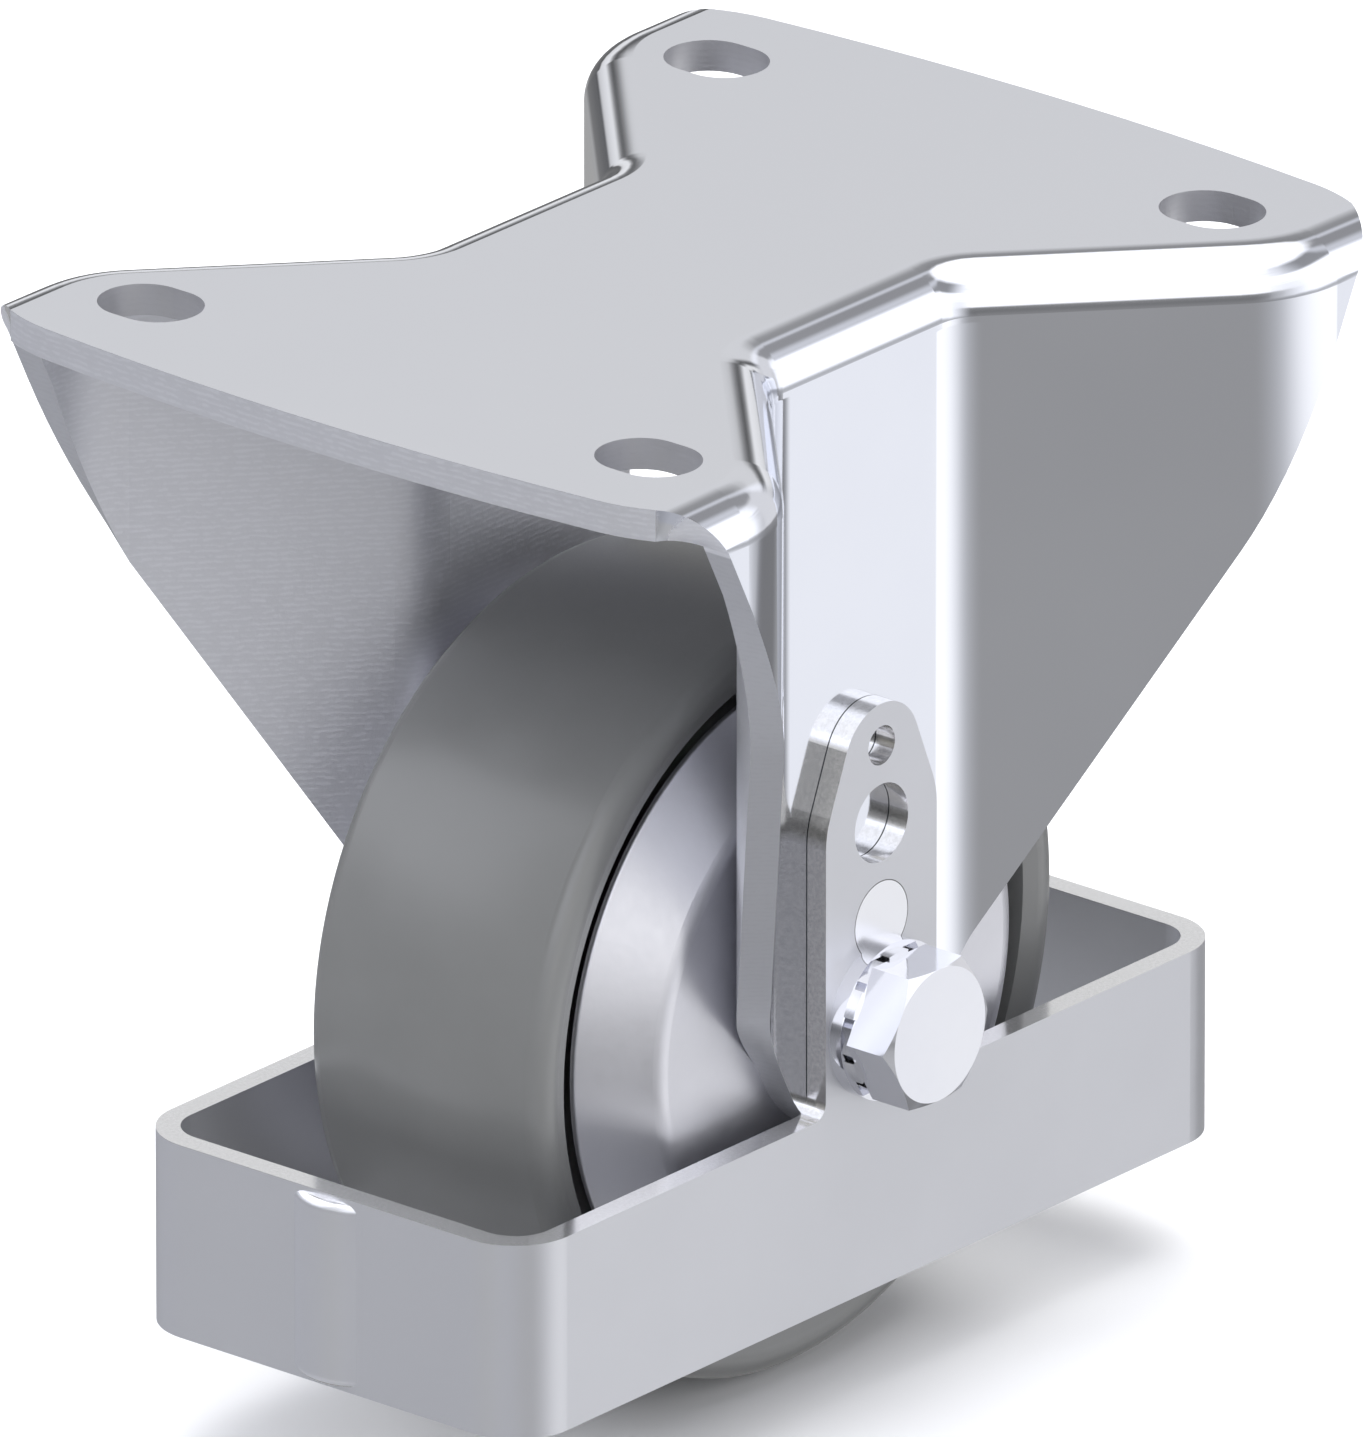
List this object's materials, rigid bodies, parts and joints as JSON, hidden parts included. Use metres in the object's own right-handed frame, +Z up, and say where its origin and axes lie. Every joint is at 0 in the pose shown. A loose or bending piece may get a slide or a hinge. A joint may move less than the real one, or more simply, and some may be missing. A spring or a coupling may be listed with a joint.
{
  "type": "fixed caster",
  "caption": "Fixed caster: pressed steel bracket with an hourglass plate and slotted holes, welded foot guard, and a bolted wheel on ball bearings.",
  "frame": {"origin": "centre of the plate's top face", "axes": "+Z up, normal to the plate; +X along the axle towards the bolt's head; +Y along the direction of travel"},
  "size_m": [0.1124, 0.138, 0.14],
  "materials": {
    "plated_steel": "smooth satin, zinc plated",
    "guard_steel": "satin, zinc plated",
    "fastener_steel": "bright, zinc plated",
    "disc_steel": "satin",
    "spacer_steel": "turned",
    "wheel_aluminium": "as cast",
    "tread_rubber": "matte",
    "bearing_steel": "ground",
    "seal_rubber": "matte",
    "cage_plastic": "matte",
    "insert_plastic": "matte"
  },
  "bodies": {
    "frame": {"bracket": "plated_steel", "guard": "guard_steel", "locating_pin_near": "fastener_steel", "locating_pin_far": "fastener_steel", "axle_bolt": "fastener_steel", "lock_washer": "fastener_steel", "washer_near": "fastener_steel", "washer_far": "fastener_steel", "axle_nut": "fastener_steel", "nut_insert": "insert_plastic", "axle_tube": "spacer_steel", "spacer_sleeve": "spacer_steel", "collar_near": "spacer_steel", "collar_far": "spacer_steel", "thread_guard_near": "disc_steel", "thread_guard_far": "disc_steel", "bearing_near_inner_ring": "bearing_steel", "bearing_far_inner_ring": "bearing_steel"},
    "wheel": {"tread": "tread_rubber", "wheel_centre": "wheel_aluminium", "bearing_near_outer_ring": "bearing_steel", "bearing_near_seal_outside": "seal_rubber", "bearing_near_seal_inside": "seal_rubber", "bearing_far_outer_ring": "bearing_steel", "bearing_far_seal_outside": "seal_rubber", "bearing_far_seal_inside": "seal_rubber"},
    "cage_near": {"bearing_near_balls": "bearing_steel", "bearing_near_cage": "cage_plastic"},
    "cage_far": {"bearing_far_balls": "bearing_steel", "bearing_far_cage": "cage_plastic"}
  },
  "joints": [
    {"name": "wheel_spin", "type": "hinge", "parent": "frame", "child": "wheel", "pos_m": [0, 0, -0.09], "axis": [1, 0, 0], "continuous": true},
    {"name": "cage_near_spin", "type": "hinge", "parent": "frame", "child": "cage_near", "pos_m": [0, 0, -0.09], "axis": [1, 0, 0], "continuous": true},
    {"name": "cage_far_spin", "type": "hinge", "parent": "frame", "child": "cage_far", "pos_m": [0, 0, -0.09], "axis": [1, 0, 0], "continuous": true}
  ],
  "couplings": [
    {"joint": "cage_near_spin", "follows": "wheel_spin", "ratio": 0.619},
    {"joint": "cage_far_spin", "follows": "wheel_spin", "ratio": 0.619}
  ]
}
